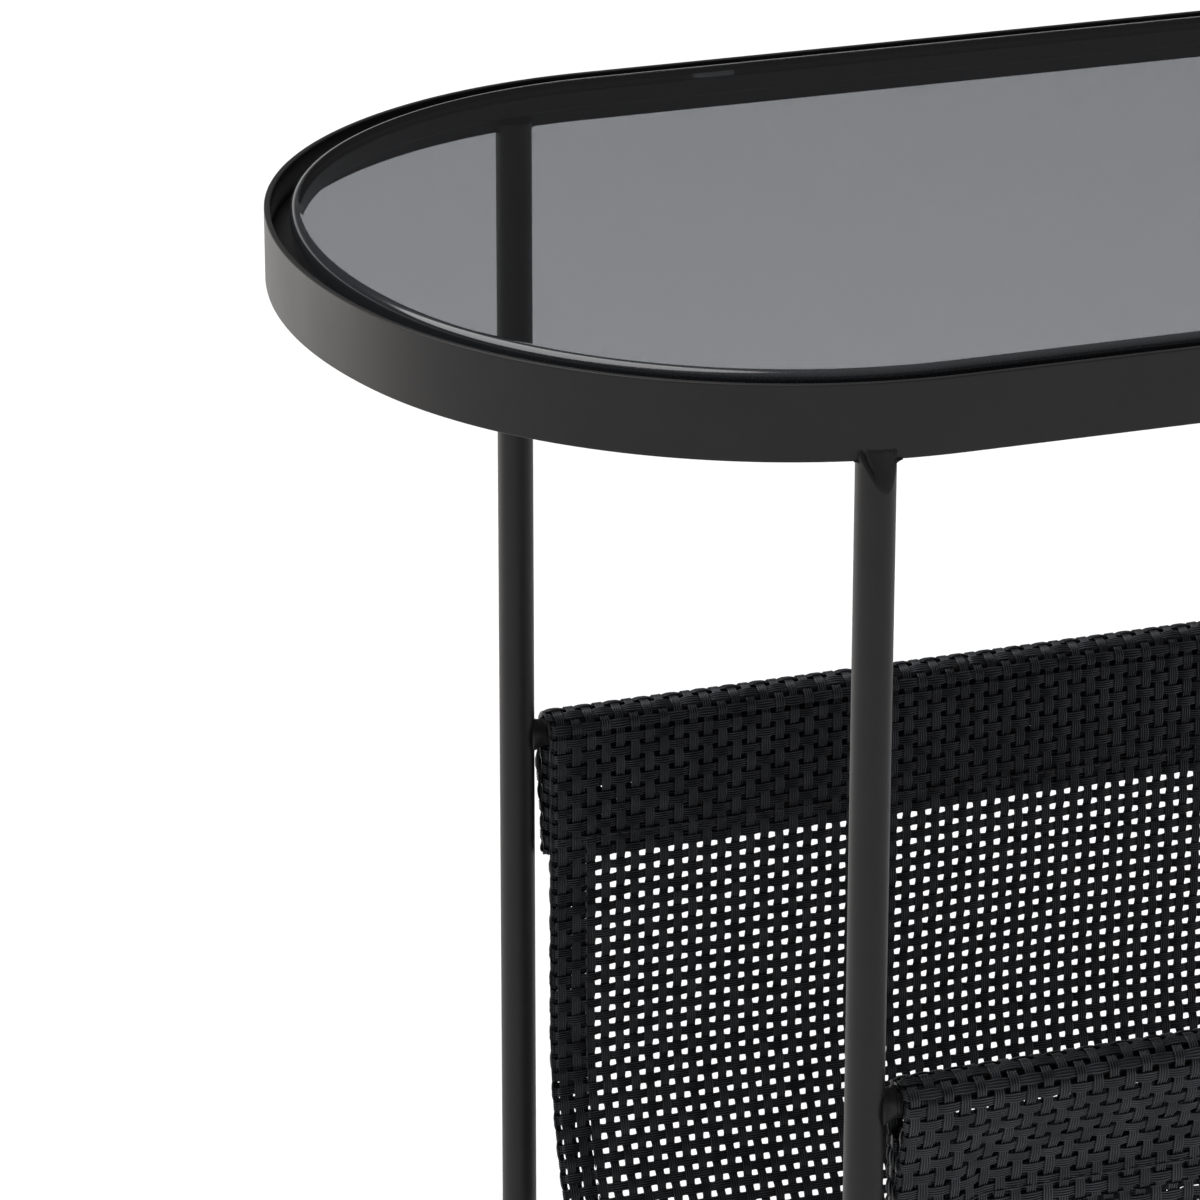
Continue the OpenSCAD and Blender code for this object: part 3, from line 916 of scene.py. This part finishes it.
# ---------------------------------------------------------------- stage
def make_stage():
    """A pale floor under a soft sky, with a broad sun and a low softbox behind the table at the left.

    The sky is bright near the horizon, dark above it, and mid grey overhead.
    """
    scene = bpy.context.scene
    scene.view_settings.view_transform = "Standard"
    world = bpy.data.worlds.new("studio")
    scene.world = world
    world.use_nodes = True
    tree = world.node_tree
    tree.nodes.clear()
    output = tree.nodes.new("ShaderNodeOutputWorld")
    background = tree.nodes.new("ShaderNodeBackground")
    place = tree.nodes.new("ShaderNodeTexCoord")
    split = tree.nodes.new("ShaderNodeSeparateXYZ")
    tree.links.new(place.outputs["Generated"], split.inputs["Vector"])
    height = remap(tree, split.outputs["Z"], 0, 1, -0.02, 1.0)
    colour = ramp(tree, height, [
        (0.0, (0.85, 0.85, 0.85)), (0.12, (0.80, 0.80, 0.80)), (0.22, (0.05, 0.05, 0.052)),
        (0.5, (0.04, 0.04, 0.042)), (0.75, (0.30, 0.30, 0.31)), (1.0, (0.35, 0.35, 0.36)),
    ])
    tree.links.new(colour, background.inputs["Color"])
    background.inputs["Strength"].default_value = 1.0
    tree.links.new(background.outputs["Background"], output.inputs["Surface"])

    bpy.ops.mesh.primitive_circle_add(vertices=96, radius=14, fill_type="NGON")
    floor = bpy.context.object
    floor.name = "floor"
    material, tree, output = new_material("pale_floor")
    shader = add_node(tree, "BsdfDiffuse")
    shader.inputs["Color"].default_value = (0.9, 0.9, 0.9, 1)
    tree.links.new(shader.outputs["BSDF"], output.inputs["Surface"])
    floor.data.materials.append(material)

    sun = bpy.data.lights.new("overhead", "SUN")
    sun.energy = 3.6
    sun.angle = math.radians(60)
    lamp = bpy.data.objects.new("overhead", sun)
    lamp.rotation_euler = Vector((-0.45, 0.28, 0.86)).to_track_quat("Z", "Y").to_euler()
    scene.collection.objects.link(lamp)

    box = bpy.data.lights.new("left_softbox", "AREA")
    box.shape = "RECTANGLE"
    box.size, box.size_y = 1.2, 0.25
    box.energy = 6.5
    box.color = (1.0, 0.95, 0.88)
    lamp = bpy.data.objects.new("left_softbox", box)
    lamp.location = (-1.3, 1.5, 0.16)
    lamp.visible_transmission = False
    lamp.rotation_euler = (Vector(lamp.location) - Vector((0, 0, 0.4))).to_track_quat("Z", "Y").to_euler()
    scene.collection.objects.link(lamp)


def make_camera():
    """The camera stands to the left of the front, and looks down a little."""
    data = bpy.data.cameras.new("camera")
    data.lens = 178.06
    data.sensor_width = 36
    data.clip_start, data.clip_end = 0.05, 60
    camera = bpy.data.objects.new("camera", data)
    camera.location = (-0.6636, -1.3950, 0.9526)
    forward = Vector((0.31313, 0.87767, -0.36283)).normalized()
    camera.rotation_euler = forward.to_track_quat("-Z", "Y").to_euler()
    bpy.context.scene.collection.objects.link(camera)
    bpy.context.scene.camera = camera


make_camera()
make_stage()
make_rim()
make_glass()
make_sling()
make_legs()
make_rod_welds()
make_stitches()

for node, material in (
    ("rod_front", COAT), ("rod_rear", COAT),
    ("glide_front_left", PLASTIC), ("glide_front_right", PLASTIC),
    ("glide_rear_left", PLASTIC), ("glide_rear_right", PLASTIC),
    ("glass_pads", SILICONE),
):
    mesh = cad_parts[node].data
    mesh.materials.clear()
    mesh.materials.append(material)
